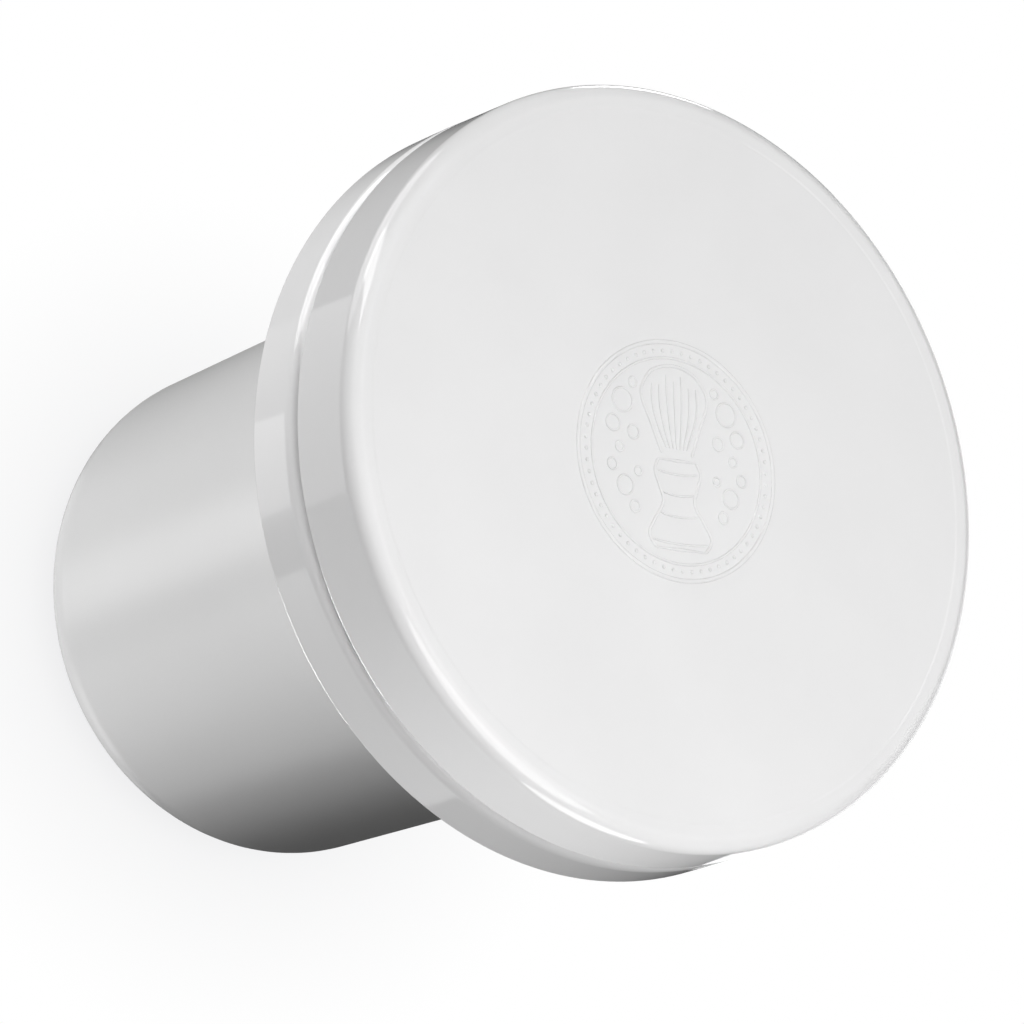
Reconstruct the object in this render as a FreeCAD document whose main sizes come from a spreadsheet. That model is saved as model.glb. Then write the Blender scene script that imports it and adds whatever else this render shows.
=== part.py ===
import FreeCAD, Part
import math
import os
import Sketcher

# Refill jar of shaving soap, standing on its base with the lid on.
# +Z is the jar's axis, the origin is the centre of the foot ring, sizes are in millimetres.

doc = FreeCAD.newDocument("soapRefillJar")
sheet = doc.addObject("Spreadsheet::Sheet", "Sizes")

driving = [
    # cup
    ("cupRadius", 28.4, "outer radius of the cup's wall at the collar, and of its neck"),
    ("cupDraft", 0.6, "how much narrower the wall is when carried down to the base"),
    ("cupWall", 1.5, "wall of the cup"),
    ("cupBase", 1.9, "floor of the cup"),
    ("baseRounding", 7.6, "outer rounding between wall and base"),
    ("footRingWidth", 0.8, "flat of the foot ring"),
    ("footRingDepth", 0.6, "depth of that hollow"),
    ("gateRadius", 1.5, "radius of the moulding gate's dimple"),
    ("gateDepth", 0.4, "depth of that dimple"),
    # where cup, collar and lid meet
    ("skirtEdge", 73.0, "height of the lid's lower edge above the base"),
    ("skirtGap", 0.5, "air between the collar's top and the lid's lower edge"),
    ("flangeReach", 3.1, "how far the cup's hanging flange stands out from its neck"),
    ("flangeThick", 1.0, "thickness of that flange"),
    # collar
    ("collarOverhang", 0.07, "how far the collar's top stands out past the lid's lower edge"),
    ("collarDraft", 0.13, "how much wider the collar is at its foot"),
    ("collarHeight", 7.1, "height of the collar"),
    ("collarRounding", 1.55, "rounding of the collar's shoulder"),
    ("collarFootRounding", 0.3, "rounding of the collar's lower edge"),
    ("collarWall", 1.6, "outer wall of the collar"),
    ("collarPlate", 2.1, "plate of the collar"),
    ("sleeveWall", 1.6, "inner sleeve of the collar, round the cup"),
    ("sleeveLift", 0.9, "sleeve's lower edge above the collar's foot"),
    ("collarRibThick", 1.2, "rib under the collar"),
    ("collarRibCount", 12, "ribs under the collar"),
    ("seatClearance", 0.1, "side clearance where the collar holds the cup"),
    ("beadHeight", 0.4, "snap bead that keeps the cup in the collar"),
    ("beadLength", 0.7, "height of that bead along the wall"),
    # lid
    ("lidRadius", 40.0, "outer radius of the lid at its lower edge"),
    ("lidDraft", 0.3, "how much narrower the lid is when carried up to its top"),
    ("lidHeight", 8.65, "height of the lid"),
    ("lidRounding", 1.8, "rounding of the lid's top edge"),
    ("lidWall", 1.7, "side wall of the lid's shell"),
    ("lidRoof", 1.7, "top of the lid's shell"),
    ("lidBead", 0.35, "snap bead inside the shell, under the insert"),
    ("emblemHeight", 0.12, "how far the moulded emblem stands up"),
    ("emblemLine", 0.5, "width of the emblem's lines"),
    ("emblemRadius", 12.6, "radius of the ring round the emblem"),
    # threaded insert of the lid
    ("insertPlate", 1.2, "plate of the insert"),
    ("insertWall", 1.5, "threaded wall of the insert"),
    ("insertLift", 0.3, "insert's threaded wall above the lid's lower edge"),
    ("insertRimWall", 1.2, "outer rim of the insert"),
    ("insertRimLift", 1.6, "insert's rim above the lid's lower edge"),
    ("insertClearance", 0.1, "side clearance of the insert in the shell"),
    ("insertRibThick", 1.0, "rib inside the insert"),
    ("insertRibDepth", 3.0, "height of that rib"),
    ("insertRibCount", 8, "ribs inside the insert"),
    # thread
    ("threadPitch", 3.0, "from one ridge to the next along the axis"),
    ("threadStarts", 2, "separate ridges on each side"),
    ("threadDepth", 1.1, "height of a ridge"),
    ("threadRoot", 1.5, "width of a ridge at its root"),
    ("threadCrest", 0.8, "width of a ridge at its crest"),
    ("threadClearance", 0.3, "crest of one ridge to the root of the other"),
    ("threadEnd", 0.15, "distance of a ridge's ends from the nearest edge"),
    # what is inside
    ("linerThick", 1.0, "foam liner"),
    ("linerGap", 0.05, "play above the liner"),
    ("sealThick", 0.1, "foil over the cup's mouth"),
    ("sealMargin", 0.2, "foil's edge inside the neck's outer edge"),
    ("tabRadius", 15.0, "radius of the folded pull tab"),
    ("tabHinge", 4.0, "fold of the tab from the middle of the foil"),
    ("headspace", 9.5, "from the soap's top to the rim"),
    ("soapShrink", 0.05, "air between soap and wall"),
    ("soapCrown", 1.2, "rounding of the soap's top edge"),
]


class Size:
    # A size in two forms: the expression that binds it to the sheet, and its value.
    def __init__(self, text, value):
        self.text = text
        self.value = value

    def join(self, sign, other, value):
        return Size("(%s %s %s)" % (self.text, sign, asSize(other).text), value)

    def __add__(self, other):
        return self.join("+", other, self.value + asSize(other).value)

    def __sub__(self, other):
        return self.join("-", other, self.value - asSize(other).value)

    def __mul__(self, other):
        return self.join("*", other, self.value * asSize(other).value)

    def __truediv__(self, other):
        return self.join("/", other, self.value / asSize(other).value)

    def __neg__(self):
        return Size("(0 - %s)" % self.text, -self.value)


def asSize(number):
    if isinstance(number, Size):
        return number
    return Size(str(number), number)


def fillSheet():
    sizes = {}
    for row, (name, value, note) in enumerate(driving, 1):
        sheet.set("A%d" % row, name)
        sheet.set("B%d" % row, str(value))
        sheet.setAlias("B%d" % row, name)
        sheet.set("C%d" % row, note)
        sizes[name] = Size("Sizes.%s" % name, value)
    doc.recompute()
    return sizes


s = fillSheet()
zero = Size("0", 0)

# Heights that several pieces share.
skirtEdge = s["skirtEdge"]
lidTop = skirtEdge + s["lidHeight"]
ceiling = lidTop - s["lidRoof"]
collarTop = skirtEdge - s["skirtGap"]
collarFoot = collarTop - s["collarHeight"]
plateUnder = collarTop - s["collarPlate"]
sleeveFoot = collarFoot + s["sleeveLift"]
flangeUnder = collarTop - s["flangeThick"]
insertUnder = ceiling - s["insertPlate"]
linerTop = insertUnder - s["linerGap"]
linerUnder = linerTop - s["linerThick"]
rim = linerUnder - s["sealThick"] * 2
soapTop = rim - s["headspace"]
insertFoot = skirtEdge + s["insertLift"]

# Radii that several pieces share.
neckRadius = s["cupRadius"]
mouthRadius = neckRadius - s["cupWall"]
cupFootRadius = neckRadius - s["cupDraft"]
cupFloorRadius = cupFootRadius - s["cupWall"]
flangeRadius = neckRadius + s["flangeReach"]
sleeveBore = neckRadius + s["seatClearance"]
sleeveOuter = sleeveBore + s["sleeveWall"]
recessRadius = flangeRadius + s["seatClearance"]
collarRadius = s["lidRadius"] + s["collarOverhang"]
collarFootRadius = collarRadius + s["collarDraft"]
neckThreadRadius = neckRadius + s["threadDepth"]
insertBore = neckThreadRadius + s["threadClearance"]
insertOuter = insertBore + s["insertWall"]
lidThreadRadius = insertBore - s["threadDepth"]
lidTopRadius = s["lidRadius"] - s["lidDraft"]
shellBore = s["lidRadius"] - s["lidWall"]
insertRadius = shellBore - s["insertClearance"]
rimBore = insertRadius - s["insertRimWall"]

# The thread's rise in a full turn, where its ridges start and how far they run. A ridge of the lid
# lies half a pitch under one of the neck.
threadLead = s["threadPitch"] * s["threadStarts"]
halfRoot = s["threadRoot"] / 2
halfCrest = s["threadCrest"] / 2
ridgeMargin = s["threadEnd"] + halfRoot
neckThreadStart = collarTop + ridgeMargin
neckThreadTurn = (rim - ridgeMargin - neckThreadStart) / threadLead * 360
lidThreadStart = insertFoot + ridgeMargin
lidThreadTurn = (linerUnder - ridgeMargin - lidThreadStart) / threadLead * 360
lidThreadAngle = (lidThreadStart - neckThreadStart + s["threadPitch"] / 2) / threadLead * 360


def newBody(name):
    body = doc.addObject("PartDesign::Body", name)
    body.Label = name
    return body


def originPlane(body, role):
    for feature in body.Origin.OriginFeatures:
        if feature.Role == role:
            return feature
    raise RuntimeError("no %s in %s" % (role, body.Label))


def newSketch(body, name, role="XZ_Plane", lift=None, turn=None):
    # A sketch on one of the body's own planes, lifted along it or turned about its upright axis.
    sketch = body.newObject("Sketcher::SketchObject", name)
    sketch.AttachmentSupport = [(originPlane(body, role), "")]
    sketch.MapMode = "FlatFace"
    if lift is not None:
        sketch.setExpression("AttachmentOffset.Base.z", lift.text)
    if turn is not None:
        upright = FreeCAD.Vector(0, 1, 0)
        sketch.AttachmentOffset = FreeCAD.Placement(FreeCAD.Vector(), FreeCAD.Rotation(upright, turn.value))
        sketch.setExpression("AttachmentOffset.Rotation.Angle", turn.text)
    return sketch


def placePoint(sketch, geometry, point, x, y):
    # Ties a point of the sketch to its origin by two sizes.
    for kind, size, axis in (("DistanceX", x, -2), ("DistanceY", y, -1)):
        if size.value == 0:
            sketch.addConstraint(Sketcher.Constraint("PointOnObject", geometry, point, axis))
        else:
            rule = Sketcher.Constraint(kind, -1, 1, geometry, point, size.value)
            index = sketch.addConstraint(rule)
            sketch.setExpression("Constraints[%d]" % index, size.text)


def outline(sketch, corners):
    # A closed run of straight lines through the corners.
    points = [FreeCAD.Vector(x.value, y.value, 0) for x, y in corners]
    first = sketch.GeometryCount
    for here, there in zip(points, points[1:] + points[:1]):
        sketch.addGeometry(Part.LineSegment(here, there), False)
    for k in range(len(points)):
        after = first + (k + 1) % len(points)
        sketch.addConstraint(Sketcher.Constraint("Coincident", first + k, 2, after, 1))
    for k, (x, y) in enumerate(corners):
        placePoint(sketch, first + k, 1, x, y)


def circle(sketch, radius, x=zero, y=zero):
    centre = FreeCAD.Vector(x.value, y.value, 0)
    geometry = sketch.addGeometry(Part.Circle(centre, FreeCAD.Vector(0, 0, 1), radius.value), False)
    index = sketch.addConstraint(Sketcher.Constraint("Radius", geometry, radius.value))
    sketch.setExpression("Constraints[%d]" % index, radius.text)
    if x.value == 0 and y.value == 0:
        sketch.addConstraint(Sketcher.Constraint("Coincident", geometry, 3, -1, 1))
    else:
        placePoint(sketch, geometry, 3, x, y)


def turned(body, name, corners, kind="Revolution"):
    # A solid of revolution about the jar's axis, or a groove of that shape.
    sketch = newSketch(body, name + "Sketch")
    outline(sketch, corners)
    feature = body.newObject("PartDesign::" + kind, name)
    feature.Profile = sketch
    feature.ReferenceAxis = (sketch, ["V_Axis"])
    feature.Angle = 360
    doc.recompute()
    return feature


def edgesAt(shape, radius, height, reach=0.01):
    # Names of the round edges about the axis with this radius and height.
    names = []
    for number, edge in enumerate(shape.Edges, 1):
        curve = edge.Curve
        if not isinstance(curve, Part.Circle):
            continue
        sameRadius = abs(curve.Radius - radius.value) < reach
        sameHeight = abs(curve.Center.z - height.value) < reach
        if sameRadius and sameHeight:
            names.append("Edge%d" % number)
    return names


def rounded(body, name, radius, places):
    # Rounds the edges at the given radii and heights.
    base = body.Tip
    names = []
    for edgeRadius, edgeHeight in places:
        names += edgesAt(base.Shape, edgeRadius, edgeHeight)
    if not names:
        raise RuntimeError("no edge for " + name)
    feature = body.newObject("PartDesign::Fillet", name)
    feature.Base = (base, names)
    feature.Radius = radius.value
    feature.setExpression("Radius", radius.text)
    doc.recompute()
    return feature


def cutUpward(body, name, sketch, depth):
    # A pocket that goes up from its sketch, and has to take material away.
    before = body.Tip.Shape.Volume
    feature = body.newObject("PartDesign::Pocket", name)
    feature.Profile = sketch
    feature.Length = depth.value
    feature.setExpression("Length", depth.text)
    feature.Reversed = True
    doc.recompute()
    if feature.Shape.Volume >= before:
        raise RuntimeError(name + " cuts nothing")
    return feature


def raised(body, name, sketch, height):
    # A pad, which has to add material.
    before = body.Tip.Shape.Volume
    feature = body.newObject("PartDesign::Pad", name)
    feature.Profile = sketch
    feature.Length = height.value
    feature.setExpression("Length", height.text)
    doc.recompute()
    if feature.Shape.Volume <= before:
        raise RuntimeError(name + " adds nothing")
    return feature


def ribs(body, name, corners, thick, count):
    # One upright rib on the XZ plane, repeated round the axis.
    sketch = newSketch(body, name + "Sketch")
    outline(sketch, corners)
    rib = body.newObject("PartDesign::Pad", name)
    rib.Profile = sketch
    rib.Length = thick.value
    rib.setExpression("Length", thick.text)
    rib.Midplane = True
    doc.recompute()
    return repeated(body, name + "Pattern", rib, count)


def repeated(body, name, feature, count):
    pattern = body.newObject("PartDesign::PolarPattern", name)
    pattern.Originals = [feature]
    pattern.Axis = (originPlane(body, "Z_Axis"), [""])
    pattern.Angle = 360
    pattern.Occurrences = int(count.value)
    pattern.setExpression("Occurrences", count.text)
    body.Tip = pattern
    doc.recompute()
    return pattern


def thread(body, name, root, crest, start, degrees, turn=None):
    # Ridges that run round the axis: a section at the start, swept along a right-handed helix.
    sunk = (root - crest) / s["threadDepth"] * s["threadClearance"] / 2
    sketch = newSketch(body, name + "Sketch", turn=turn)
    outline(sketch, [
        (root + sunk, start - halfRoot),
        (root, start - halfRoot),
        (crest, start - halfCrest),
        (crest, start + halfCrest),
        (root, start + halfRoot),
        (root + sunk, start + halfRoot),
    ])
    before = body.Tip.Shape.Volume
    ridge = body.newObject("PartDesign::AdditiveHelix", name)
    ridge.Profile = sketch
    ridge.ReferenceAxis = (sketch, ["V_Axis"])
    ridge.Mode = "pitch-height-angle"
    ridge.Pitch = threadLead.value
    ridge.setExpression("Pitch", threadLead.text)
    climb = threadLead * degrees / 360
    ridge.Height = climb.value
    ridge.setExpression("Height", climb.text)
    ridge.Angle = 0
    ridge.LeftHanded = False
    ridge.Reversed = False
    doc.recompute()
    if ridge.Shape.Volume <= before:
        raise RuntimeError(name + " adds nothing")
    return repeated(body, name + "Starts", ridge, s["threadStarts"])


def makeCup():
    body = newBody("cup")
    beadTop = sleeveFoot - s["seatClearance"]
    beadFoot = beadTop - s["beadLength"]
    beadRadius = neckRadius + s["beadHeight"]
    turned(body, "cupSolid", [
        (zero, zero),
        (cupFootRadius, zero),
        (neckRadius, beadFoot),
        (beadRadius, beadTop - s["beadLength"] / 3),
        (neckRadius, beadTop),
        (neckRadius, flangeUnder),
        (flangeRadius, flangeUnder),
        (flangeRadius, collarTop),
        (neckRadius, collarTop),
        (neckRadius, rim),
        (zero, rim),
    ])
    turned(body, "cupHollow", [
        (zero, s["cupBase"]),
        (cupFloorRadius, s["cupBase"]),
        (mouthRadius, rim),
        (zero, rim),
    ], kind="Groove")
    innerRounding = s["baseRounding"] - s["cupWall"]
    rounded(body, "cupFloorRounding", innerRounding, [(cupFloorRadius, s["cupBase"])])
    rounded(body, "cupBaseRounding", s["baseRounding"], [(cupFootRadius, zero)])
    ring = newSketch(body, "footRingSketch", "XY_Plane")
    circle(ring, cupFootRadius - s["baseRounding"] - s["footRingWidth"])
    cutUpward(body, "footRing", ring, s["footRingDepth"])
    gate = newSketch(body, "gateSketch", "XY_Plane", lift=s["footRingDepth"])
    circle(gate, s["gateRadius"])
    cutUpward(body, "gate", gate, s["gateDepth"])
    thread(body, "neckThread", neckRadius, neckThreadRadius, neckThreadStart, neckThreadTurn)
    return body


def makeCollar():
    body = newBody("collar")
    wallBore = collarRadius - s["collarWall"]
    wallFootBore = collarFootRadius - s["collarWall"]
    turned(body, "collarSolid", [
        (sleeveBore, sleeveFoot),
        (sleeveOuter, sleeveFoot),
        (sleeveOuter, plateUnder),
        (wallBore, plateUnder),
        (wallFootBore, collarFoot),
        (collarFootRadius, collarFoot),
        (collarRadius, collarTop),
        (recessRadius, collarTop),
        (recessRadius, flangeUnder),
        (sleeveBore, flangeUnder),
    ])
    rounded(body, "shoulder", s["collarRounding"], [(collarRadius, collarTop)])
    rounded(body, "collarFootEdge", s["collarFootRounding"], [(collarFootRadius, collarFoot)])
    ribStart = sleeveOuter - s["sleeveWall"] / 2
    ribEnd = collarRadius - s["collarWall"] / 2
    ribs(body, "collarRib", [
        (ribStart, sleeveFoot),
        (sleeveOuter + s["sleeveLift"], collarFoot),
        (ribEnd, collarFoot),
        (ribEnd, collarTop - s["collarPlate"] / 2),
        (sleeveOuter + s["sleeveLift"], collarTop - s["collarPlate"] / 2),
        (ribStart + s["sleeveWall"] / 4, plateUnder),
        (ribStart, plateUnder),
    ], s["collarRibThick"], s["collarRibCount"])
    return body


def brushOutlines():
    # Heights and half widths of a shaving brush seen from the side: the knot over the handle.
    knot = [(0.6, 1.9), (6.6, 4.2), (8.8, 3.1), (9.9, 0.9)]
    handle = [(-9.2, 3.3), (-7.6, 3.9), (-4.4, 2.0), (-1.2, 2.9), (0.0, 2.4)]
    return knot, handle


def makeEmblem(body):
    # A raised ring and two raised outlines, each a pair of closed loops one line's width apart.
    # The brush stands along +X.
    line = s["emblemLine"]
    sketch = newSketch(body, "emblemSketch", "XY_Plane", lift=lidTop)
    circle(sketch, s["emblemRadius"])
    circle(sketch, s["emblemRadius"] - line)
    for half in brushOutlines():
        middle = (half[0][0] + half[-1][0]) / 2
        for inset in (zero, line):
            left = []
            for height, width in half:
                side = inset if height < middle else -inset
                left.append((asSize(height) + side, asSize(width) - inset))
            right = [(height, -width) for height, width in reversed(left)]
            outline(sketch, left + right)
    raised(body, "emblem", sketch, s["emblemHeight"])


def makeLidShell():
    body = newBody("lid_shell")
    beadTop = skirtEdge + s["insertRimLift"] - s["insertClearance"]
    beadRadius = shellBore - s["lidBead"]
    turned(body, "shellSolid", [
        (zero, ceiling),
        (shellBore, ceiling),
        (shellBore, beadTop),
        (beadRadius, beadTop - s["lidBead"]),
        (shellBore, beadTop - s["lidBead"] * 2),
        (shellBore, skirtEdge),
        (s["lidRadius"], skirtEdge),
        (lidTopRadius, lidTop),
        (zero, lidTop),
    ])
    rounded(body, "lidTopEdge", s["lidRounding"], [(lidTopRadius, lidTop)])
    makeEmblem(body)
    return body


def makeLidInsert():
    body = newBody("lid_insert")
    rimFoot = skirtEdge + s["insertRimLift"]
    turned(body, "insertSolid", [
        (zero, ceiling),
        (insertRadius, ceiling),
        (insertRadius, rimFoot),
        (rimBore, rimFoot),
        (rimBore, insertUnder),
        (insertOuter, insertUnder),
        (insertOuter, insertFoot),
        (insertBore, insertFoot),
        (insertBore, insertUnder),
        (zero, insertUnder),
    ])
    ribs(body, "insertRib", [
        (insertOuter - s["insertWall"] / 2, insertUnder - s["insertRibDepth"]),
        (rimBore + s["insertRimWall"] / 2, insertUnder - s["insertRibDepth"]),
        (rimBore + s["insertRimWall"] / 2, insertUnder + s["insertPlate"] / 2),
        (insertOuter - s["insertWall"] / 2, insertUnder + s["insertPlate"] / 2),
    ], s["insertRibThick"], s["insertRibCount"])
    thread(body, "lidThread", insertBore, lidThreadRadius, lidThreadStart, lidThreadTurn,
           turn=lidThreadAngle)
    return body


def makeLidLiner():
    body = newBody("lid_liner")
    turned(body, "linerSolid", [
        (zero, linerUnder),
        (insertBore - s["threadClearance"], linerUnder),
        (insertBore - s["threadClearance"], linerTop),
        (zero, linerTop),
    ])
    return body


def makeMouthSeal():
    # The foil on the rim, with its pull tab folded flat over it.
    body = newBody("mouth_seal")
    sealRadius = neckRadius - s["sealMargin"]
    sealTop = rim + s["sealThick"]
    turned(body, "foil", [(zero, rim), (sealRadius, rim), (sealRadius, sealTop), (zero, sealTop)])
    sketch = newSketch(body, "tabSketch", "XY_Plane", lift=sealTop)
    hinge = s["tabHinge"].value
    radius = s["tabRadius"].value
    reach = math.sqrt(radius * radius - hinge * hinge)
    start = math.atan2(-hinge, reach)
    arc = Part.ArcOfCircle(Part.Circle(FreeCAD.Vector(), FreeCAD.Vector(0, 0, 1), radius),
                           start, math.pi - start)
    curve = sketch.addGeometry(arc, False)
    fold = sketch.addGeometry(Part.LineSegment(FreeCAD.Vector(-reach, -hinge, 0),
                                               FreeCAD.Vector(reach, -hinge, 0)), False)
    sketch.addConstraint(Sketcher.Constraint("Coincident", curve, 3, -1, 1))
    sketch.addConstraint(Sketcher.Constraint("Coincident", curve, 2, fold, 1))
    sketch.addConstraint(Sketcher.Constraint("Coincident", fold, 2, curve, 1))
    sketch.addConstraint(Sketcher.Constraint("Horizontal", fold))
    size = sketch.addConstraint(Sketcher.Constraint("Radius", curve, radius))
    sketch.setExpression("Constraints[%d]" % size, s["tabRadius"].text)
    place = sketch.addConstraint(Sketcher.Constraint("DistanceY", -1, 1, fold, 1, -hinge))
    sketch.setExpression("Constraints[%d]" % place, (-s["tabHinge"]).text)
    raised(body, "tab", sketch, s["sealThick"])
    return body


def makeSoapPuck():
    # The soap fills the cup: its side follows the cup's wall, and its floor is the cup's.
    body = newBody("soap_puck")
    shrink = s["soapShrink"]
    climb = (soapTop - s["cupBase"]) / (rim - s["cupBase"])
    topRadius = cupFloorRadius + (mouthRadius - cupFloorRadius) * climb - shrink
    floorRadius = cupFloorRadius - shrink
    turned(body, "soapSolid", [
        (zero, s["cupBase"]),
        (floorRadius, s["cupBase"]),
        (topRadius, soapTop),
        (zero, soapTop),
    ])
    floorRounding = s["baseRounding"] - s["cupWall"]
    rounded(body, "soapFloorRounding", floorRounding, [(floorRadius, s["cupBase"])])
    rounded(body, "soapCrown", s["soapCrown"], [(topRadius, soapTop)])
    return body


def checkAndWrite(pieces):
    # Nothing is written unless every object is sound.
    doc.recompute()
    for item in doc.Objects:
        if "Invalid" in item.State or "Error" in item.State:
            raise RuntimeError("%s is not sound: %s" % (item.Label, item.State))
    for piece in pieces:
        if piece.Shape.isNull() or not piece.Shape.isValid():
            raise RuntimeError(piece.Label + " has no valid shape")
        if len(piece.Shape.Solids) != 1:
            raise RuntimeError(piece.Label + " is not one solid")
    os.makedirs("parts", exist_ok=True)
    for piece in pieces:
        piece.Shape.exportStep("parts/%s.step" % piece.Label)
        print("%-11s %9.1f mm3" % (piece.Label, piece.Shape.Volume))


pieces = [makeCup(), makeCollar(), makeSoapPuck(), makeMouthSeal()]
pieces += [makeLidLiner(), makeLidInsert(), makeLidShell()]
checkAndWrite(pieces)
print("thread lead %.3f mm, lid ridges start at %.2f degrees" % (threadLead.value, lidThreadAngle.value))
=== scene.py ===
import math
import bmesh
import bpy
from mathutils import Matrix, Vector


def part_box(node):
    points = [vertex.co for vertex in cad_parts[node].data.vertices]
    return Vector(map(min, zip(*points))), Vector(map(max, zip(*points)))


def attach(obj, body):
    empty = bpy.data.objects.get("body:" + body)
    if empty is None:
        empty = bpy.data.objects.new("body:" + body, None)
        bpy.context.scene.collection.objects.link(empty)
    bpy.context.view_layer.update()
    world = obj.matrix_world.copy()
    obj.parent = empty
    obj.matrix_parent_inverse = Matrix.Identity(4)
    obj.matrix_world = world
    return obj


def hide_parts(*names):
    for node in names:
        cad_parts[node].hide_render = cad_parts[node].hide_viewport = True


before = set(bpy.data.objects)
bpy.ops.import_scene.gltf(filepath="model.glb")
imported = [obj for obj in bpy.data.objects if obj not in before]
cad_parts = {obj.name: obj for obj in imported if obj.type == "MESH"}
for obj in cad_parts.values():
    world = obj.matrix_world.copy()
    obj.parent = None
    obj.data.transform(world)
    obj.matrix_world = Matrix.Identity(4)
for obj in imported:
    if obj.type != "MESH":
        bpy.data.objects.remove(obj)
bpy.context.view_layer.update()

mm = 0.001
steps = 240                       # flats round every turned piece
crease = math.radians(32)         # edges that turn more than this stay crisp
weld = 0.000002                   # metres: closer points of a turned piece become one


class Wire:
    # One output of a node, so that shader maths can be written as an expression.
    def __init__(self, net, socket):
        self.net = net
        self.socket = socket

    def join(self, kind, first, second):
        return self.net.node("ShaderNodeMath", {"operation": kind}, {0: first, 1: second})[0]

    def __add__(self, other):
        return self.join("ADD", self, other)

    def __radd__(self, other):
        return self.join("ADD", other, self)

    def __sub__(self, other):
        return self.join("SUBTRACT", self, other)

    def __rsub__(self, other):
        return self.join("SUBTRACT", other, self)

    def __mul__(self, other):
        return self.join("MULTIPLY", self, other)

    def __rmul__(self, other):
        return self.join("MULTIPLY", other, self)

    def __truediv__(self, other):
        return self.join("DIVIDE", self, other)

    def sine(self):
        return self.join("SINE", self, 0.0)

    def clamped(self):
        return self.net.node("ShaderNodeClamp", {}, {"Value": self, "Min": 0.0, "Max": 1.0})[0]

    def between(self, low, high):
        # 0 below low, 1 above high, and a smooth step from one to the other
        settings = {"interpolation_type": "SMOOTHSTEP"}
        values = {"Value": self, "From Min": low, "From Max": high}
        return self.net.node("ShaderNodeMapRange", settings, values)[0]


class Net:
    # The nodes of one material, world or geometry tree.
    def __init__(self, tree):
        self.tree = tree

    def node(self, kind, settings=None, values=None):
        # A new node: its settings first, then what its sockets hold. Gives its outputs.
        made = self.tree.nodes.new(kind)
        for key, value in (settings or {}).items():
            setattr(made, key, value)
        for key, value in (values or {}).items():
            self.feed(made.inputs[key], value)
        return [Wire(self, out) for out in made.outputs if out.enabled]

    def stretched(self, place, scale):
        return self.node("ShaderNodeMapping", {}, {"Vector": place, "Scale": scale})[0]

    def feed(self, socket, value):
        if isinstance(value, Wire):
            self.tree.links.new(value.socket, socket)
        else:
            socket.default_value = value


def newFinish(name, surface):
    # A material with one Principled shader: surface holds the sockets that stay the same all over.
    material = bpy.data.materials.new(name)
    material.use_nodes = True
    net = Net(material.node_tree)
    shader = material.node_tree.nodes["Principled BSDF"]
    for key, value in surface.items():
        shader.inputs[key].default_value = value
    place = net.node("ShaderNodeTexCoord")[3]          # Object coordinates
    return material, net, shader, place


def noise(net, place, scale, detail=2.0, roughness=0.5):
    values = {"Vector": place, "Scale": scale, "Detail": detail, "Roughness": roughness}
    return net.node("ShaderNodeTexNoise", {}, values)[0]


def greyMix(net, amount, dark, light):
    # A colour mix keeps its factor at input 0 and its two colours at inputs 6 and 7.
    return net.node("ShaderNodeMix", {"data_type": "RGBA"}, {0: amount, 6: dark, 7: light})[0]


def shared(first, second, share):
    # Two patterns together: share of the first, the rest of the second.
    return first * share + second * (1 - share)


def skin(net, shader, look, shade, uneven, height):
    # What varies over a surface: shade picks between its two colours, uneven drifts its gloss
    # to both sides, and height lifts it by up to its depth in metres.
    net.feed(shader.inputs["Base Color"], greyMix(net, shade, look["dark"], look["light"]))
    net.feed(shader.inputs["Roughness"], look["gloss"] + (uneven - 0.5) * look["glossDrift"])
    bump = {"Height": height, "Strength": look["strength"], "Distance": look["depth"]}
    net.feed(shader.inputs["Normal"], net.node("ShaderNodeBump", {}, bump)[0])


polish = {
    "dark": (0.80, 0.798, 0.800, 1), "light": (0.86, 0.858, 0.860, 1),
    "cloud": 60.0, "fine": 2600.0,                     # per metre: drift of the white, of the gloss
    "gloss": 0.075, "glossDrift": 0.04, "cloudShare": 0.6,
    "flow": 170.0, "depth": 0.000004, "strength": 0.6,
}


def polishedPlastic():
    # Glossy moulded plastic: even white, with the faint waviness of a moulded skin.
    surface = {"IOR": 1.5, "Specular IOR Level": 0.5}
    material, net, shader, place = newFinish("polished_plastic", surface)
    cloud = noise(net, place, polish["cloud"], 3.0)
    fine = noise(net, place, polish["fine"])
    wave = noise(net, place, polish["flow"], 1.0)
    skin(net, shader, polish, cloud, shared(cloud, fine, polish["cloudShare"]), wave)
    return material


satin = {
    "dark": (0.70, 0.70, 0.70, 1), "light": (0.76, 0.76, 0.76, 1),
    "cloud": 45.0, "cloudShare": 0.7, "gloss": 0.25, "glossDrift": 0.08,
    "grain": 5200.0, "depth": 0.000010, "strength": 0.5,
}


def satinPlastic():
    # Satin moulded plastic: a fine even grain that spreads its highlights.
    surface = {"IOR": 1.5, "Specular IOR Level": 0.5}
    material, net, shader, place = newFinish("satin_plastic", surface)
    cloud = noise(net, place, satin["cloud"], 3.0)
    grain = noise(net, place, satin["grain"], 2.0, 0.6)
    skin(net, shader, satin, shared(cloud, grain, satin["cloudShare"]), grain, grain)
    return material


natural = {
    "dark": (0.70, 0.70, 0.69, 1), "light": (0.80, 0.80, 0.79, 1),
    "cloud": 90.0, "cloudShare": 0.7,
    "streak": 700.0, "streakStretch": (1, 1, 0.1),     # the plastic flowed along the axis
    "gloss": 0.34, "glossDrift": 0.12, "milk": 0.08, "milkReach": (0.002, 0.002, 0.002),
    "pebble": 1400.0, "depth": 0.000015, "strength": 0.4,
}


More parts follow.
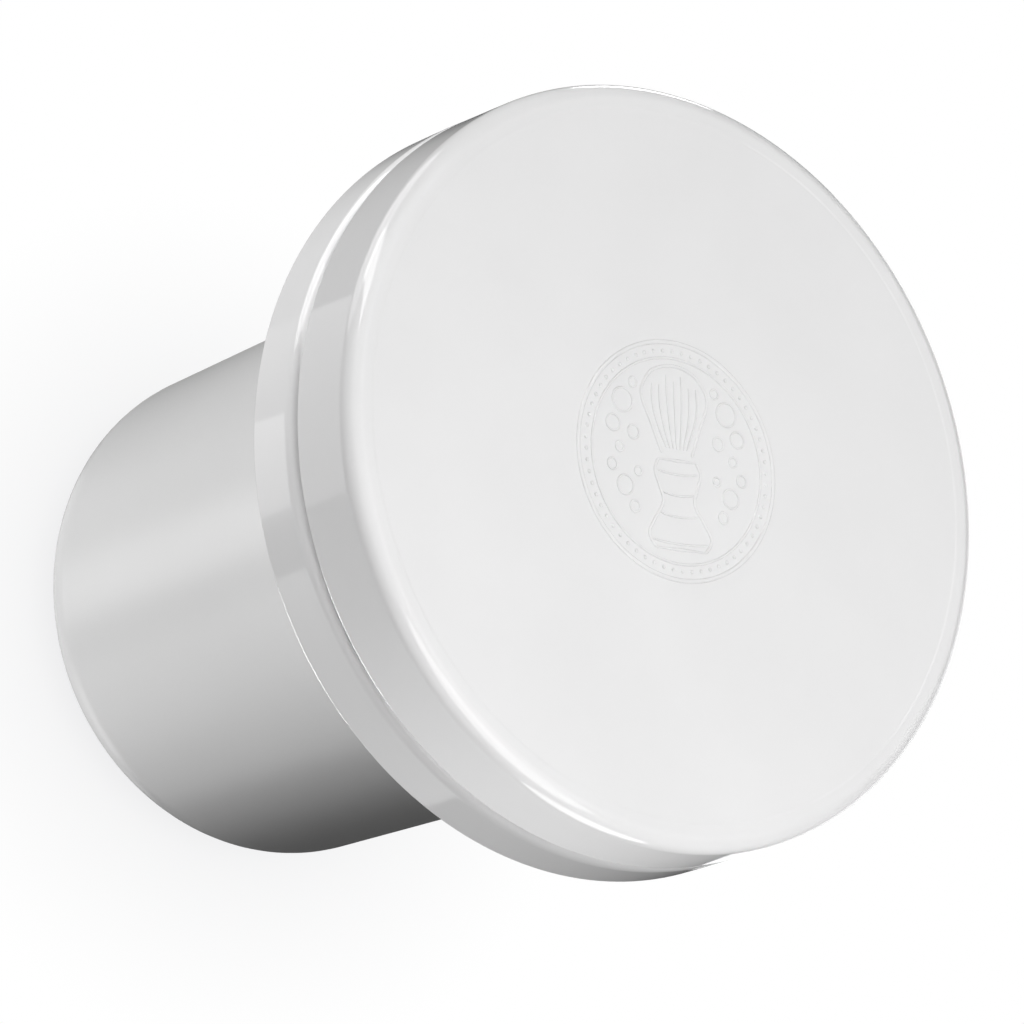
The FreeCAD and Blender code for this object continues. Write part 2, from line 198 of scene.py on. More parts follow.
def naturalPlastic():
    # Uncoloured moulded plastic: a little cloudy, with faint flow streaks.
    surface = {"IOR": 1.49, "Subsurface Weight": natural["milk"],
               "Subsurface Radius": natural["milkReach"]}
    material, net, shader, place = newFinish("natural_plastic", surface)
    cloud = noise(net, place, natural["cloud"], 4.0)
    streak = noise(net, net.stretched(place, natural["streakStretch"]), natural["streak"])
    pebble = noise(net, place, natural["pebble"], 3.0)
    skin(net, shader, natural, shared(cloud, streak, natural["cloudShare"]), streak, pebble)
    return material


cream = {
    "dark": (0.80, 0.74, 0.62, 1), "light": (0.90, 0.86, 0.77, 1),
    "marble": 55.0, "marbleShare": 0.6, "veins": 18.0,
    "pores": 2400.0, "poreSize": (0.02, 0.16), "porePaintedShade": 0.3,
    "gloss": 0.42, "glossDrift": 0.25, "wax": 0.25, "waxReach": (0.004, 0.003, 0.002),
    "lumps": 420.0, "veinRise": 0.25, "lumpRise": 0.6, "poreDrop": 0.5,
    "depth": 0.00012, "strength": 0.5,
}


def softSoap():
    # Poured hard soap: waxy cream with slow swirls, fine pores darkened with painted shade, and a
    # dull bloom.
    surface = {"IOR": 1.46, "Subsurface Weight": cream["wax"],
               "Subsurface Radius": cream["waxReach"], "Subsurface Scale": 1.0}
    material, net, shader, place = newFinish("cream_soap", surface)
    swirl = noise(net, place, cream["marble"], 5.0, 0.55)
    veins = ((swirl - 0.5) * cream["veins"]).sine() * 0.5 + 0.5
    cell = net.node("ShaderNodeTexVoronoi", {}, {"Vector": place, "Scale": cream["pores"]})[0]
    pores = 1.0 - cell.between(*cream["poreSize"])
    lumps = noise(net, place, cream["lumps"], 4.0)
    # painted shade: each pore is darkened in colour as well as sunk in the bump
    shade = shared(swirl, veins, cream["marbleShare"]) - pores * cream["porePaintedShade"]
    height = veins * cream["veinRise"] + lumps * cream["lumpRise"] - pores * cream["poreDrop"]
    skin(net, shader, cream, shade.clamped(), swirl, height)
    return material


foil = {
    "dark": (0.66, 0.66, 0.67, 1), "light": (0.80, 0.80, 0.81, 1),
    "grain": 900.0, "grainStretch": (0.04, 1, 1), "grainShare": 0.7,
    "crinkle": 260.0, "crinkleRise": 0.25,
    "cell": 900.0, "cellEdge": (0.02, 0.14), "cellRise": 0.5,
    "gloss": 0.26, "glossDrift": 0.2, "depth": 0.00006, "strength": 0.5,
}


def sealFoil():
    # Aluminium foil with a rolled grain, an embossed cell pattern and small crinkles; the grooves
    # between the cells are darker in colour as painted shade.
    material, net, shader, place = newFinish("seal_foil", {"Metallic": 1.0})
    rolled = noise(net, net.stretched(place, foil["grainStretch"]), foil["grain"], 3.0)
    crinkle = net.node("ShaderNodeTexNoise", {"noise_type": "RIDGED_MULTIFRACTAL"},
                       {"Vector": place, "Scale": foil["crinkle"], "Detail": 3.0})[0]
    cell = net.node("ShaderNodeTexVoronoi", {"feature": "DISTANCE_TO_EDGE"},
                    {"Vector": place, "Scale": foil["cell"], "Randomness": 0.0})[0]
    emboss = cell.between(*foil["cellEdge"])
    height = emboss * foil["cellRise"] + crinkle * foil["crinkleRise"]
    # painted shade: the grooves of the emboss are darker in colour as well as lower
    skin(net, shader, foil, shared(rolled, emboss, foil["grainShare"]).clamped(), rolled, height)
    return material


foam = {
    "dark": (0.68, 0.68, 0.68, 1), "light": (0.84, 0.84, 0.83, 1),
    "cell": 3200.0, "cellWall": (0.15, 0.6), "cellShadeShare": 0.7, "cloud": 130.0,
    "gloss": 0.72, "glossDrift": 0.2, "depth": 0.00010, "strength": 0.6,
}


def linerFoam():
    # Fine closed-cell foam: small round cells with thin walls, the cell hollows darker in colour as
    # painted shade.
    material, net, shader, place = newFinish("liner_foam", {"Specular IOR Level": 0.35})
    cell = net.node("ShaderNodeTexVoronoi", {}, {"Vector": place, "Scale": foam["cell"]})[0]
    wall = cell.between(*foam["cellWall"])
    cloud = noise(net, place, foam["cloud"], 3.0)
    # painted shade: the low middle of each cell is darker in colour, the raised walls lighter
    skin(net, shader, foam, shared(wall, cloud, foam["cellShadeShare"]).clamped(), cloud, wall)
    return material


def roundedPath(corners, flats=8, guard=0.08):
    # Corners are (radius, height, rounding) in millimetres. A rounded corner becomes an arc with
    # a point just before and just after it, which keeps the flats beside it flat.
    path = []
    for k, (x, y, rounding) in enumerate(corners):
        here = Vector((x, y))
        if rounding == 0:
            path.append(here)
            continue
        back = (Vector(corners[k - 1][:2]) - here).normalized()
        ahead = (Vector(corners[(k + 1) % len(corners)][:2]) - here).normalized()
        half = back.angle(ahead) / 2
        reach = rounding / math.tan(half)
        centre = here + (back + ahead).normalized() * rounding / math.sin(half)
        start = here + back * reach - centre
        sweep = start.angle_signed(here + ahead * reach - centre)
        path.append(here + back * (reach + guard))
        for n in range(flats + 1):
            turn = Matrix.Rotation(-sweep * n / flats, 2)
            path.append(centre + turn @ start)
        path.append(here + ahead * (reach + guard))
    return path


def newTree(name, inputs, output):
    # An empty geometry tree with named inputs, given as (name, kind), and one output.
    tree = bpy.data.node_groups.new(name, "GeometryNodeTree")
    for label, kind in inputs:
        tree.interface.new_socket(label, in_out="INPUT", socket_type="NodeSocket" + kind)
    tree.interface.new_socket(output, in_out="OUTPUT", socket_type="NodeSocketGeometry")
    net = Net(tree)
    return tree, net, net.node("NodeGroupInput")[:len(inputs)]


def closeTree(net, output, mesh, finish):
    mesh = net.node("GeometryNodeRealizeInstances", {}, {"Geometry": mesh})[0]
    mesh = net.node("GeometryNodeSetMaterial", {}, {"Geometry": mesh, "Material": finish})[0]
    net.node("NodeGroupOutput", {}, {output: mesh})


def latheTree():
    # Turns a chain of points in the XZ plane about Z.
    inputs = [("Profile", "Geometry"), ("Steps", "Int"), ("Crease", "Float"),
              ("Finish", "Material")]
    tree, net, (profile, count, limit, finish) = newTree("lathe", inputs, "Solid")
    rows = net.node("GeometryNodeAttributeDomainSize", {}, {"Geometry": profile})[0]
    columns = count + 1
    grid = net.node("GeometryNodeMeshGrid", {}, {"Vertices X": columns, "Vertices Y": rows})[0]
    index = net.node("GeometryNodeInputIndex")[0]
    column = net.node("ShaderNodeMath", {"operation": "FLOOR"}, {0: index / rows})[0]
    row = index - column * rows
    place = net.node("GeometryNodeInputPosition")[0]
    picked = {"Geometry": profile, "Value": place, "Index": row}
    point = net.node("GeometryNodeSampleIndex", {"data_type": "FLOAT_VECTOR"}, picked)[0]
    axis = {"Vector": point, "Axis": (0, 0, 1), "Angle": column / count * (2 * math.pi)}
    swung = net.node("ShaderNodeVectorRotate", {"rotation_type": "AXIS_ANGLE"}, axis)[0]
    shell = net.node("GeometryNodeSetPosition", {}, {"Geometry": grid, "Position": swung})[0]
    shell = net.node("GeometryNodeMergeByDistance", {}, {"Geometry": shell, "Distance": weld})[0]
    shell = net.node("GeometryNodeSetShadeSmooth", {}, {"Geometry": shell, "Shade Smooth": True})[0]
    angle = net.node("GeometryNodeInputMeshEdgeAngle")[0]
    sharp = net.node("FunctionNodeCompare", {"operation": "GREATER_THAN"}, {0: angle, 1: limit})[0]
    edges = {"Geometry": shell, "Selection": sharp, "Shade Smooth": False}
    shell = net.node("GeometryNodeSetShadeSmooth", {"domain": "EDGE"}, edges)[0]
    closeTree(net, "Solid", shell, finish)
    return tree


def aroundTree():
    # Repeats the input mesh round Z.
    inputs = [("One", "Geometry"), ("Count", "Int"), ("Finish", "Material")]
    tree, net, (one, count, finish) = newTree("around", inputs, "All")
    points = net.node("GeometryNodePoints", {}, {"Count": count})[0]
    index = net.node("GeometryNodeInputIndex")[0]
    share = {"Axis": (0, 0, 1), "Angle": index / count * (2 * math.pi)}
    turn = net.node("FunctionNodeAxisAngleToRotation", {}, share)[0]
    copies = {"Points": points, "Instance": one, "Rotation": turn}
    ring = net.node("GeometryNodeInstanceOnPoints", {}, copies)[0]
    closeTree(net, "All", ring, finish)
    return tree


def setInputs(modifier, values):
    for item in modifier.node_group.interface.items_tree:
        if item.item_type == "SOCKET" and item.in_out == "INPUT" and item.name in values:
            modifier[item.identifier] = values[item.name]


def worked(name, mesh, tree, values):
    # Runs a geometry tree over a mesh, and returns the result as a plain mesh.
    maker = bpy.data.objects.new(name + "_maker", mesh)
    bpy.context.scene.collection.objects.link(maker)
    modifier = maker.modifiers.new("make", "NODES")
    modifier.node_group = tree
    setInputs(modifier, values)
    graph = bpy.context.evaluated_depsgraph_get()
    made = bpy.data.meshes.new_from_object(maker.evaluated_get(graph))
    maker.modifiers.clear()
    bpy.data.objects.remove(maker)
    made.name = name
    return made


def asMesh(name, shape):
    # Ends the work on a bmesh: its faces point outwards, and it becomes a plain mesh.
    bmesh.ops.recalc_face_normals(shape, faces=shape.faces)
    mesh = bpy.data.meshes.new(name)
    shape.to_mesh(mesh)
    shape.free()
    return mesh


def outwards(mesh):
    shape = bmesh.new()
    shape.from_mesh(mesh)
    bmesh.ops.recalc_face_normals(shape, faces=shape.faces)
    shape.to_mesh(mesh)
    shape.free()
    return mesh


def turned(name, corners, finish, closed=False, flats=8):
    # A turned solid from its section. A closed section is a ring, an open one ends on the axis.
    path = roundedPath(corners, flats)
    if closed:
        path.append(path[0])
    chain = bpy.data.meshes.new(name + "_section")
    points = [(p.x * mm, 0, p.y * mm) for p in path]
    chain.from_pydata(points, [(k, k + 1) for k in range(len(points) - 1)], [])
    values = {"Steps": steps, "Crease": crease, "Finish": finish}
    return outwards(worked(name, chain, lathe, values))


def lofted(name, rings, closed=False, smooth=False):
    # A closed skin over rings of points in millimetres. It is capped, unless the rings meet.
    shape = bmesh.new()
    loops = [[shape.verts.new((x * mm, y * mm, z * mm)) for x, y, z in ring] for ring in rings]
    pairs = list(zip(loops, loops[1:])) + ([(loops[-1], loops[0])] if closed else [])
    for one, two in pairs:
        for k in range(len(one)):
            m = (k + 1) % len(one)
            side = shape.faces.new((one[k], one[m], two[m], two[k]))
            side.smooth = smooth
    if not closed:
        shape.faces.new(loops[0])
        shape.faces.new(loops[-1])
    return asMesh(name, shape)


def slab(name, outline, half, ease=0.12):
    # A flat plate in the XZ plane, with its edges eased.
    shape = bmesh.new()
    front = [shape.verts.new((x * mm, -half * mm, z * mm)) for x, z in outline]
    shape.faces.new(front)
    grown = bmesh.ops.extrude_face_region(shape, geom=shape.faces[:])
    moved = [v for v in grown["geom"] if isinstance(v, bmesh.types.BMVert)]
    bmesh.ops.translate(shape, verts=moved, vec=(0, 2 * half * mm, 0))
    bmesh.ops.bevel(shape, geom=shape.edges[:], offset=ease * mm, segments=2, affect="EDGES")
    return asMesh(name, shape)


def joined(name, meshes, finish):
    # One piece from several closed meshes.
    whole = bmesh.new()
    for mesh in meshes:
        whole.from_mesh(mesh)
    mesh = bpy.data.meshes.new(name)
    whole.to_mesh(mesh)
    whole.free()
    mesh.materials.clear()
    mesh.materials.append(finish)
    piece = bpy.data.objects.new(name, mesh)
    bpy.context.scene.collection.objects.link(piece)
    return piece


lathe = latheTree()
around = aroundTree()
gloss = polishedPlastic()
satinFinish = satinPlastic()
soapFinish = softSoap()
print("materials and trees made")

# The heights and radii that the pieces share, in millimetres, as the frame has them.
lidLow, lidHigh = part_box("lid_shell")
collarLow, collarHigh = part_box("collar")
lidRadius = lidHigh.x / mm
skirtEdge = lidLow.z / mm
collarFoot = collarLow.z / mm
collarTop = collarHigh.z / mm
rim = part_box("cup")[1].z / mm
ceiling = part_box("lid_insert")[1].z / mm

lid = {
    "draft": 0.3, "rounding": 1.8, "wall": 1.7,
    "emblem": 0.12,                                    # height kept for the emblem
    "bead": 0.35, "beadRise": 1.5,                     # snap bead inside the skirt
    "lip": 0.035, "lipReach": 2.9, "lipRun": 0.25,     # faint step round the top
}
lidTop = lidHigh.z / mm - lid["emblem"]

emblem = {
    "sunk": 0.06,                                      # how far a stroke's foot goes into the lid
    "tall": 0.75, "fineTall": 0.6,                     # shares of the emblem's height
    "shoulder": 0.72, "crown": 0.36, "endWidth": 0.45,  # a stroke's section, its slimmer ends
    "line": 0.34, "fine": 0.2,
    "ring": 12.6, "ringWidth": 0.46, "inner": 10.7, "innerWidth": 0.26,
    "beads": 60, "beadRadius": 0.22, "beadInset": 0.72,
    "beadDome": [(1.0, 0.0), (0.72, 0.7), (0.3, 1.0)],  # shares of its radius and height
    "knot": [(0.6, 1.9), (3.4, 3.0), (6.6, 4.2), (8.8, 3.1), (9.7, 1.4), (9.9, 0)],
    "handle": [(-9.2, 3.1), (-8.5, 3.7), (-7.6, 3.9), (-6.2, 3.1), (-4.4, 2.0), (-2.8, 2.4),
               (-1.2, 2.9), (0, 2.4)],
    "bands": [(-8.4, 3.5), (-5.6, 2.35), (-3.4, 1.95), (-1.2, 2.55)], "bandBow": 0.25,
    "bristles": 7, "bristleFoot": 1.2, "bristleTip": 9.0, "tipFall": 1.7, "tipStagger": 0.7,
    "spread": (1.5, 1.85, 1.9),                        # width at the foot, its gain, how it curves
    "bubbles": [(5.6, 6.6, 1.25), (3.1, 7.9, 0.85), (2.4, 5.4, 0.7), (7.6, 5.2, 0.5),
                (0.7, 7.2, 0.5), (-3.2, 6.7, 1.0), (-5.3, 5.6, 0.6), (-1.2, 8.2, 0.6),
                (-1.6, 5.0, 0.45)],
}


def eased(points, flats=6):
    # A smooth open line through the points.
    last = len(points) - 1
    line = []
    for k in range(last):
        near = [points[min(max(k + n, 0), last)] for n in (-1, 0, 1, 2)]
        a, b, c, d = (Vector(p) for p in near)
        for n in range(flats):
            t = n / flats
            line.append(0.5 * (2 * b + (c - a) * t + (2 * a - 5 * b + 4 * c - d) * t * t
                               + (3 * b - a - 3 * c + d) * t ** 3))
    line.append(Vector(points[-1]))
    return line


def flipped(line):
    return [Vector((p.x, -p.y)) for p in line]


def roundLine(radius, centre=(0, 0), flats=160):
    turns = [2 * math.pi * k / flats for k in range(flats)]
    x, y = centre
    return [Vector((x + radius * math.cos(turn), y + radius * math.sin(turn))) for turn in turns]


def stroke(line, width, closed=False, tall=emblem["tall"]):
    # A raised line on the lid: a low rounded bar that follows the points.
    half, sunk = width / 2, -emblem["sunk"]
    rise = lid["emblem"] * tall
    shoulder, crown = emblem["shoulder"], emblem["crown"]
    left = [(-half, sunk), (-half, 0), (-half * shoulder, rise * shoulder), (-half * crown, rise)]
    section = left + [(-across, height) for across, height in reversed(left)]
    last = len(line) - 1
    rings = []
    for k, here in enumerate(line):
        back = line[k - 1] if closed or k > 0 else here
        ahead = line[(k + 1) % len(line)] if closed or k < last else here
        along = (ahead - back).normalized()
        side = Vector((-along.y, along.x))
        slim = 1.0 if closed or 0 < k < last else emblem["endWidth"]
        spots = [(here + side * across * slim, lidTop + height) for across, height in section]
        rings.append([(spot.x, spot.y, height) for spot, height in spots])
    return lofted("stroke", rings, closed, smooth=True)


def makeBead():
    # One low dome of the beaded frame, on the +X side, with eight flats.
    away = emblem["ring"] - emblem["ringWidth"] - emblem["beadInset"]
    levels = [(1.0, -emblem["sunk"])]
    levels += [(share, lid["emblem"] * tall) for share, tall in emblem["beadDome"]]
    rings = []
    for share, height in levels:
        spots = roundLine(emblem["beadRadius"] * share, (away, 0), 8)
        rings.append([(p.x, p.y, lidTop + height) for p in spots])
    return lofted("bead", rings)


def makeBrush():
    # The shaving brush: the outline of its knot and handle, then bands and bristles.
    wide, fine, fineTall = emblem["line"], emblem["fine"], emblem["fineTall"]
    knot, handle = eased(emblem["knot"]), eased(emblem["handle"])
    strokes = [stroke(knot + flipped(reversed(knot[:-1])), wide)]
    strokes += [stroke(flipped(handle), wide), stroke(handle, wide)]
    for end in (emblem["handle"][0], emblem["handle"][-1]):
        strokes.append(stroke([Vector((end[0], end[1] * side)) for side in (-1, 0, 1)], wide))
    for height, reach in emblem["bands"]:
        bow = [Vector((height - emblem["bandBow"] * (1 - (n / 6) ** 2), reach * n / 6))
               for n in range(-6, 7)]
        strokes.append(stroke(bow, fine, tall=fineTall))
    foot = emblem["bristleFoot"]
    narrow, gain, curve = emblem["spread"]
    for k in range(emblem["bristles"]):
        lean = (k + 0.5) / emblem["bristles"] * 2 - 1
        tip = emblem["bristleTip"] - emblem["tipFall"] * lean * lean
        tip -= emblem["tipStagger"] if k % 2 else 0
        shares = [n / 8 for n in range(9)]
        hair = [Vector((foot + (tip - foot) * t, lean * (narrow + gain * math.sin(t * curve))))
                for t in shares]
        strokes.append(stroke(hair, fine, tall=fineTall))
    return strokes


def makeEmblem():
    # A round beaded frame with a shaving brush and a few bubbles of lather in it.
    strokes = [
        stroke(roundLine(emblem["ring"] - emblem["ringWidth"] / 2), emblem["ringWidth"], True),
        stroke(roundLine(emblem["inner"]), emblem["innerWidth"], True),
        worked("beads", makeBead(), around, {"Count": emblem["beads"], "Finish": gloss}),
    ]
    strokes += makeBrush()
    for height, across, radius in emblem["bubbles"]:
        for side in (-1, 1):
            bubble = roundLine(radius, (height, side * across), 28)
            strokes.append(stroke(bubble, emblem["fine"], True, emblem["fineTall"]))
    return strokes


def makeLidShell():
    bore = lidRadius - lid["wall"]
    beadTop = skirtEdge + lid["beadRise"]
    lipStart = lidRadius - lid["lipReach"]
    shell = turned("lid_shell_skin", [
        (0, ceiling, 0),
        (bore, ceiling, 0.4),
        (bore, beadTop, 0),
        (bore - lid["bead"], beadTop - lid["bead"], 0.1),
        (bore, beadTop - 2 * lid["bead"], 0),
        (bore, skirtEdge, 0.15),
        (lidRadius, skirtEdge, 0.2),
        (lidRadius - lid["draft"], lidTop, lid["rounding"]),
        (lipStart, lidTop, 0.15),
        (lipStart - lid["lipRun"], lidTop - lid["lip"], 0.15),
        (0, lidTop - lid["lip"], 0),
    ], gloss, flats=14)
    piece = joined("lid_cap", [shell] + makeEmblem(), gloss)
    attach(piece, "lid")
    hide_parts("lid_shell")
    return piece


collar = {
    "wall": 1.6, "plate": 2.1, "rounding": 1.55, "footRounding": 0.3,
    "overhang": 0.07, "draft": 0.13,                   # how far it stands out past the lid
    "bore": 28.5, "sleeve": 1.6, "lift": 0.9,          # the inner sleeve ends above the foot
    "recess": 31.6, "recessDepth": 1.0,                # seat of the cup's flange
    "ribs": 12, "ribHalf": 0.6, "ribRoot": 0.8, "ribSlope": 0.9, "ribSunk": 0.6,
}


def makeCollar():
    top = lidRadius + collar["overhang"]
    foot = top + collar["draft"]
    under = collarTop - collar["plate"]
    sleeve = collar["bore"] + collar["sleeve"]
    sleeveFoot = collarFoot + collar["lift"]
    seat = collarTop - collar["recessDepth"]
    ring = turned("collar_ring", [
        (collar["bore"], sleeveFoot, 0.2),
        (sleeve, sleeveFoot, 0.3),
        (sleeve, under, 0.4),
        (top - collar["wall"], under, 0.4),
        (foot - collar["wall"], collarFoot, 0.25),
        (foot, collarFoot, collar["footRounding"]),
        (top, collarTop, collar["rounding"]),
        (collar["recess"], collarTop, 0.15),
        (collar["recess"], seat, 0),
        (collar["bore"], seat, 0),
    ], gloss, closed=True, flats=12)
    root, outer = sleeve - collar["ribRoot"], top - collar["wall"] / 2
    rib = slab("collar_rib", [
        (root, sleeveFoot),
        (sleeve + collar["ribSlope"], collarFoot),
        (outer, collarFoot),
        (outer, under + collar["ribSunk"]),
        (root, under + collar["ribSunk"]),
    ], collar["ribHalf"])
    ribs = worked("collar_ribs", rib, around, {"Count": collar["ribs"], "Finish": gloss})
    piece = joined("collar_ring", [ring, ribs], gloss)
    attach(piece, "jar")
    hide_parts("collar")
    return piece


cup = {
    "radius": 28.4, "draft": 0.6, "wall": 1.5, "floor": 1.9, "rounding": 7.6,
    "ringWidth": 0.8, "ringDepth": 0.6,                # foot ring
    "gate": 1.5, "gateDepth": 0.4,                     # moulding mark under the base
    "flange": 3.1, "flangeThick": 1.0,
    "bead": 0.4, "beadLength": 0.7, "beadGap": 0.1,    # snap bead under the collar's sleeve
}
thread = {
    "pitch": 3.0, "starts": 2, "depth": 1.1, "end": 0.15,
    "halfRoot": 0.75, "halfCrest": 0.4,
    "fade": 14.0, "fadeFrom": 0.12, "turnStep": 2,     # degrees, share of the height, degrees
    "sunk": 0.15,                                      # how far its foot goes into the neck
}


def ridge(root, start, degrees, lead, angle):
    # One thread ridge: its section swept up a right-handed helix, fading at both ends.
    count = int(degrees / thread["turnStep"])
    wide, narrow = thread["halfRoot"], thread["halfCrest"]
    under = root - thread["sunk"]
    rings = []
    for n in range(count + 1):
        turn = degrees * n / count
        near = min(1.0, turn / thread["fade"], (degrees - turn) / thread["fade"])
        full = math.sin(near * math.pi / 2)
        tall = root + thread["depth"] * (thread["fadeFrom"] + (1 - thread["fadeFrom"]) * full)
        theta = math.radians(angle + turn)
        middle = start + lead * turn / 360
        section = [(under, -wide), (root, -wide), (tall, -narrow),
                   (tall, narrow), (root, wide), (under, wide)]
        rings.append([(radius * math.cos(theta), radius * math.sin(theta), middle + height)
                      for radius, height in section])
    return lofted("ridge", rings)


def makeCup():
    radius = cup["radius"]
    foot = radius - cup["draft"]
    hollow = foot - cup["rounding"] - cup["ringWidth"]
    gateTop = cup["ringDepth"] + cup["gateDepth"]
    beadTop = collarFoot + collar["lift"] - cup["beadGap"]
    flangeUnder = collarTop - cup["flangeThick"]
    shell = turned("cup_shell", [
        (0, gateTop, 0),
        (cup["gate"], gateTop, 0.15),
        (cup["gate"], cup["ringDepth"], 0.15),
        (hollow, cup["ringDepth"], 0.25),
        (hollow, 0, 0.2),
        (foot, 0, cup["rounding"]),
        (radius, beadTop - cup["beadLength"], 0),
        (radius + cup["bead"], beadTop - cup["beadLength"] / 3, 0.1),
        (radius, beadTop, 0),
        (radius, flangeUnder, 0),
        (radius + cup["flange"], flangeUnder, 0.1),
        (radius + cup["flange"], collarTop, 0.15),
        (radius, collarTop, 0.3),
        (radius, rim, 0.3),
        (radius - cup["wall"], rim, 0.3),
        (foot - cup["wall"], cup["floor"], cup["rounding"] - cup["wall"]),
        (0, cup["floor"], 0),
    ], satinFinish, flats=16)
    lead = thread["pitch"] * thread["starts"]
    start = collarTop + thread["end"] + thread["halfRoot"]
    degrees = (rim - thread["end"] - thread["halfRoot"] - start) / lead * 360
    ridges = [ridge(radius, start, degrees, lead, 360 * k / thread["starts"])
              for k in range(thread["starts"])]
    piece = joined("cup_body", [shell] + ridges, satinFinish)
    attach(piece, "jar")
    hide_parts("cup")
    return piece


soap = {
    "crown": 1.2, "footRounding": 6.1,
    "edge": 2.6, "edgeDrop": 0.12,                     # the poured edge climbs the wall
    "slope": 9, "dip": 0.35,                           # width and depth of the shallow dish
    "pool": 4.0, "poolDrop": 0.06, "dimple": 2.2, "dimpleDrop": 0.2,
}


def makeSoap():
    low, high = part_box("soap_puck")
    side = high.x / mm
    floor, top = low.z / mm, high.z / mm
    narrow = side - (top - floor) / rim * cup["draft"]
    dish = top - soap["dip"]
    body = turned("soap_body", [
        (0, floor, 0),
        (narrow, floor, soap["footRounding"]),
        (side, top, soap["crown"]),
        (side - soap["edge"], top - soap["edgeDrop"], 1.0),
        (side - soap["slope"], dish, 3.0),
        (soap["pool"], dish - soap["poolDrop"], 1.0),
        (soap["dimple"], dish - soap["dimpleDrop"], 0.8),
        (0, dish - soap["dimpleDrop"], 0),
    ], soapFinish, flats=10)
    piece = joined("soap_body", [body], soapFinish)
    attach(piece, "jar")
    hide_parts("soap_puck")
    return piece


def dressed(name, finish):
    # An inner part that keeps its own shape and gets its finish.
    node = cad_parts[name]
    node.data.materials.clear()
    node.data.materials.append(finish)
    return node


parts = {
    "lid": [makeLidShell(), dressed("lid_insert", naturalPlastic()),
            dressed("lid_liner", linerFoam())],
    "collar": [makeCollar()],
    "cup": [makeCup(), makeSoap(), dressed("mouth_seal", sealFoil())],
}
print("pieces made")

camera = {
    "place": (-0.11565, 0.28064, 0.43543), "ahead": (0.23896, -0.57474, -0.78267),
    "roll": 69.684, "lens": 162.92, "sensor": 36, "nearest": 0.01,
}


def cameraTurn():
    # The camera's axes as the columns of a matrix: right, up, back.
    ahead = Vector(camera["ahead"]).normalized()
    level = ahead.cross(Vector((0, 0, 1))).normalized()
    rise = level.cross(ahead)
    roll = math.radians(camera["roll"])
    right = level * math.cos(roll) + rise * math.sin(roll)
    up = rise * math.cos(roll) - level * math.sin(roll)
    return Matrix((right, up, -ahead)).transposed()


def makeCamera():
    data = bpy.data.cameras.new("view")
    data.lens = camera["lens"]
    data.sensor_width = camera["sensor"]
    data.clip_start = camera["nearest"]
    eye = bpy.data.objects.new("view", data)
    bpy.context.scene.collection.objects.link(eye)
    eye.matrix_world = Matrix.Translation(camera["place"]) @ cameraTurn().to_4x4()
    bpy.context.scene.camera = eye


ground = {
    "half": 3.0,                                       # metres
    "shade": (0.80, 0.80, 0.81, 1), "clear": (1, 1, 1, 1),
    "reach": 0.024, "samples": 16,                     # how far the painted contact shade spreads
}


def makeFloor():
    # A pale table that glows evenly, with a soft contact shade painted into its glow under the
    # object.
    half = ground["half"]
    corners = [(-half, -half, 0), (half, -half, 0), (half, half, 0), (-half, half, 0)]
    mesh = bpy.data.meshes.new("floor")
    mesh.from_pydata(corners, [], [(0, 1, 2, 3)])
    floor = bpy.data.objects.new("floor", mesh)
    bpy.context.scene.collection.objects.link(floor)
    surface = {"Base Color": (0, 0, 0, 1), "Roughness": 1.0, "Specular IOR Level": 0.0,
               "Emission Strength": 1.0}
    material, net, shader = newFinish("pale_table", surface)[:3]
    # painted shade: the glow darkens to the shade colour where ambient occlusion finds the object
    # near
    away = net.node("ShaderNodeAmbientOcclusion", {"samples": ground["samples"]},
                    {"Distance": ground["reach"]})[1]
    paintedShadeGlow = greyMix(net, away, ground["shade"], ground["clear"])
    net.feed(shader.inputs["Emission Color"], paintedShadeGlow)
    mesh.materials.append(material)
    floor.visible_glossy = False
    floor.visible_diffuse = False
    floor.visible_transmission = False
    floor.visible_shadow = False


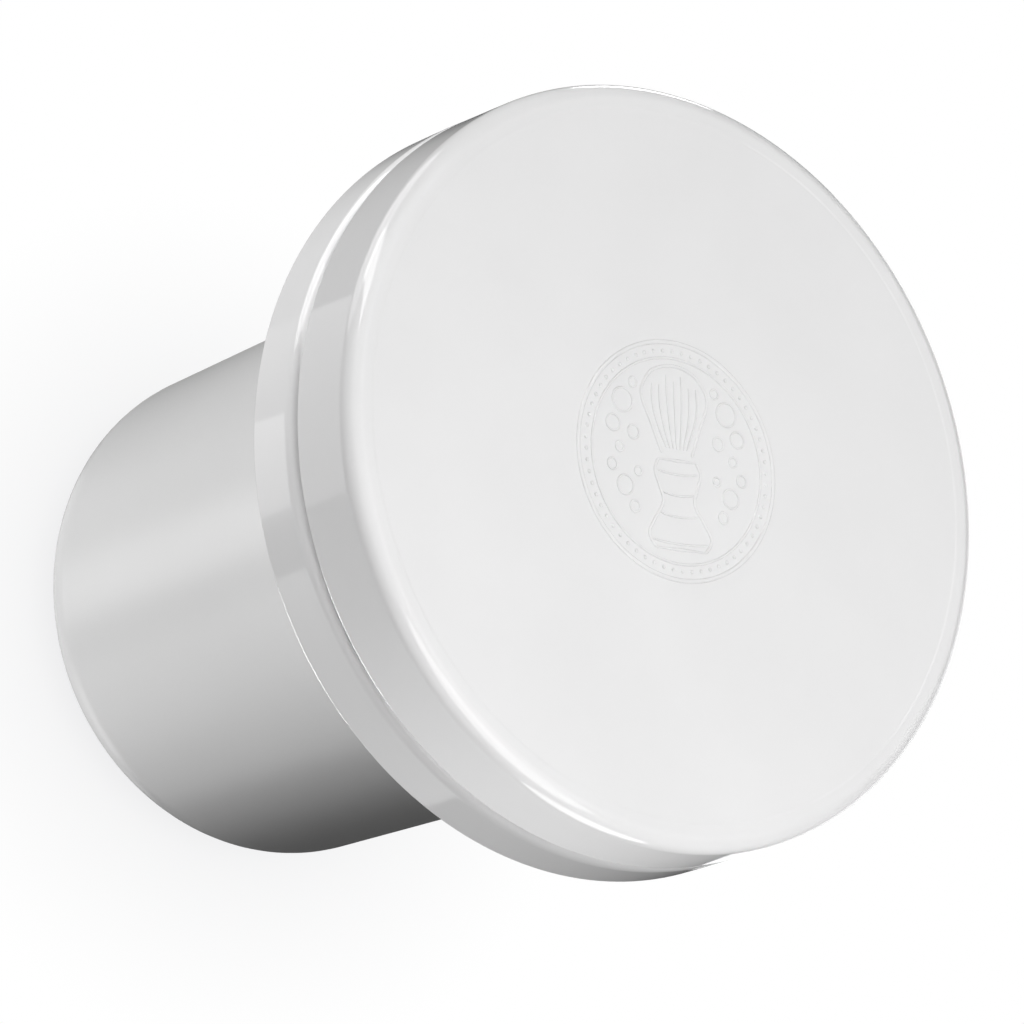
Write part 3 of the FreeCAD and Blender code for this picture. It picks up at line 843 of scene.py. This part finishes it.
lampAim = (0, 0, 0.04)
lamps = {
    # name: (azimuth, elevation, distance, width, height, watts on each part)
    "top": (40, 80, 1.5, 2.4, 2.4, {"lid": 10.6, "cup": 3.0}),
    "topCollar": (0, 74, 1.1, 1.1, 1.1, {"collar": 5.7}),
    "topBack": (-85, 54, 1.1, 1.1, 1.1, {"lid": 2.5}),
    "near": (170, 55, 0.38, 0.3, 0.3, {"lid": 0.68, "collar": 0.8}),
    "strip": (36, 24, 1.0, 0.24, 0.9, {"lid": 3.4}),
    "stripCollar": (42, 24, 1.0, 0.3, 0.9, {"collar": 3.4}),
    "brow": (30, -10, 1.0, 0.9, 0.9, {"lid": 4.6, "collar": 7.6, "cup": 1.6}),
    "face": (140, 12, 1.0, 0.7, 0.7, {"lid": 0.8}),
    "cheek": (190, -10, 1.0, 0.6, 0.6, {"lid": 4.2}),
    "low": (138, -70, 1.0, 0.4, 0.4, {"lid": 8.2, "collar": 4.7, "cup": 0.3}),
    "lowWide": (145, -47, 1.1, 1.1, 1.1, {"collar": 3.5, "cup": 2.4}),
    "band": (73, -52, 1.0, 0.32, 0.32, {"collar": 0.3, "cup": 0.4}),
    "under": (60, -82, 1.0, 1.0, 1.0, {"cup": 1.5}),
    "bandWide": (60, -50, 1.0, 0.7, 0.7, {"lid": 1.1, "collar": 0.4}),
    "side": (83, -10, 1.0, 0.35, 0.35, {"cup": 6.7}),
    "rim": (-34, -15, 1.0, 0.3, 0.3, {"lid": 1.5, "collar": 1.0, "cup": 0.8}),
    "back": (-10, -10, 1.0, 0.6, 0.6, {"cup": 3.6}),
    "fill": (-85, -25, 1.1, 1.0, 1.0, {"lid": 3.0, "collar": 3.0, "cup": 4.4}),
}
room = {"seen": (1, 1, 1, 1), "dim": 0.02}


def makeLamps(parts):
    # Each part has flags of its own, as in a studio: a lamp lights the named parts only.
    groups = {}
    for part, pieces in parts.items():
        groups[part] = bpy.data.collections.new("lit_" + part)
        for piece in pieces:
            groups[part].objects.link(piece)
    for name, (azimuth, elevation, distance, width, height, watts) in lamps.items():
        turn, lift = math.radians(azimuth), math.radians(elevation)
        flat = math.cos(lift)
        way = Vector((math.cos(turn) * flat, math.sin(turn) * flat, math.sin(lift)))
        for part, power in watts.items():
            data = bpy.data.lights.new(name + "_" + part, "AREA")
            data.shape = "ELLIPSE" if width == height else "RECTANGLE"
            data.size, data.size_y = width, height
            data.energy = power
            lamp = bpy.data.objects.new(name + "_" + part, data)
            bpy.context.scene.collection.objects.link(lamp)
            lamp.location = Vector(lampAim) + way * distance
            lamp.rotation_euler = (-way).to_track_quat("-Z", "Y").to_euler()
            lamp.visible_camera = False
            lamp.light_linking.receiver_collection = groups[part]


def makeRoom():
    # White where the camera looks past the table, and nearly dark as a light.
    world = bpy.data.worlds.new("studio")
    bpy.context.scene.world = world
    world.use_nodes = True
    net = Net(world.node_tree)
    seen = net.node("ShaderNodeLightPath")[0]          # 1 for what the camera sees directly
    sky = world.node_tree.nodes["Background"]
    sky.inputs["Color"].default_value = room["seen"]
    net.feed(sky.inputs["Strength"], seen * (1 - room["dim"]) + room["dim"])


makeCamera()
makeFloor()
makeLamps(parts)
makeRoom()
bpy.context.scene.view_settings.view_transform = "Standard"
print("camera and light set")
